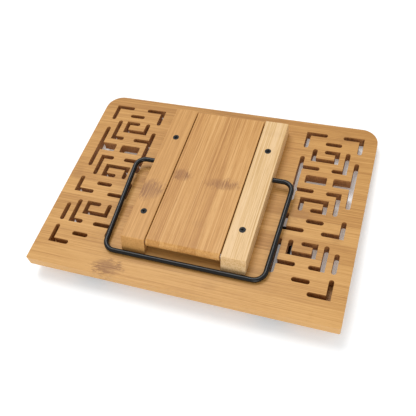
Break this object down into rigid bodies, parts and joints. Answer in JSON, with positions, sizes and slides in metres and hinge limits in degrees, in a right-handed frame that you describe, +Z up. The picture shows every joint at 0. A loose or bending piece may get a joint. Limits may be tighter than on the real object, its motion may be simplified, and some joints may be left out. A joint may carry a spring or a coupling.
{
  "type": "folding book stand",
  "caption": "Folding bamboo stand for a Quran or another book, folded flat: fretwork board, hinged back support, bent wire strut, folding tray and page clips.",
  "frame": {"origin": "middle of the footprint of the folded stand, on the surface that it lies on", "axes": "+X across the stand, +Y from the foot of the board to its top edge along the surface, +Z up. The board slopes 3.7 degrees down towards its top edge, because the folded tray lifts its foot."},
  "size_m": [0.28, 0.2052, 0.035],
  "materials": {
    "board_bamboo": "warm brown bamboo, satin lacquer, grain across the stand",
    "plate_bamboo": "bamboo strips glued side by side, satin lacquer",
    "batten_bamboo": "bamboo, satin lacquer, grain up the stand",
    "pale_bamboo": "pale bamboo, satin lacquer, grain up the stand",
    "black_screw": "black oxide",
    "black_wire": "satin black powder coat",
    "hinge_metal": "black lacquered steel",
    "steel_pin": "plain steel",
    "pad_rubber": "matt black rubber"
  },
  "bodies": {
    "frame": {"board": "board_bamboo", "batten_left": "batten_bamboo", "batten_right": "pale_bamboo", "batten_screws": "black_screw", "plate_pin_left": "steel_pin", "plate_pin_right": "steel_pin", "board_leaf_left": "hinge_metal", "board_leaf_right": "hinge_metal", "board_leaf_screws": "black_screw", "hinge_pin_left": "steel_pin", "hinge_pin_right": "steel_pin"},
    "support": {"support_plate": "plate_bamboo"},
    "strut": {"support_wire": "black_wire"},
    "tray": {"tray": "board_bamboo", "tray_leaf_left": "hinge_metal", "tray_leaf_right": "hinge_metal", "tray_leaf_screws": "black_screw"},
    "clip_left": {"page_clip_left": "black_wire", "clip_pad_left": "pad_rubber"},
    "clip_right": {"page_clip_right": "black_wire", "clip_pad_right": "pad_rubber"}
  },
  "joints": [
    {"name": "plate_swing", "type": "hinge", "parent": "frame", "child": "support", "pos_m": [0, -0.06493, 0.0303], "axis": [1, 0, 0], "range_deg": [0, 180]},
    {"name": "wire_swing", "type": "hinge", "parent": "frame", "child": "strut", "pos_m": [0, 0.02131, 0.02344], "axis": [-1, 0, 0], "range_deg": [0, 180]},
    {"name": "tray_fold", "type": "hinge", "parent": "frame", "child": "tray", "pos_m": [0, -0.09249, 0.01239], "axis": [-1, 0, 0], "range_deg": [0, 90]},
    {"name": "clip_left_swing", "type": "hinge", "parent": "tray", "child": "clip_left", "pos_m": [-0.078, -0.06164, 0.00674], "axis": [1, 0, 0], "range_deg": [0, 90]},
    {"name": "clip_right_swing", "type": "hinge", "parent": "tray", "child": "clip_right", "pos_m": [0.078, -0.06164, 0.00674], "axis": [1, 0, 0], "range_deg": [0, 90]}
  ],
  "couplings": [
    {"joint": "clip_left_swing", "follows": "tray_fold", "ratio": 1},
    {"joint": "clip_right_swing", "follows": "tray_fold", "ratio": 1}
  ]
}
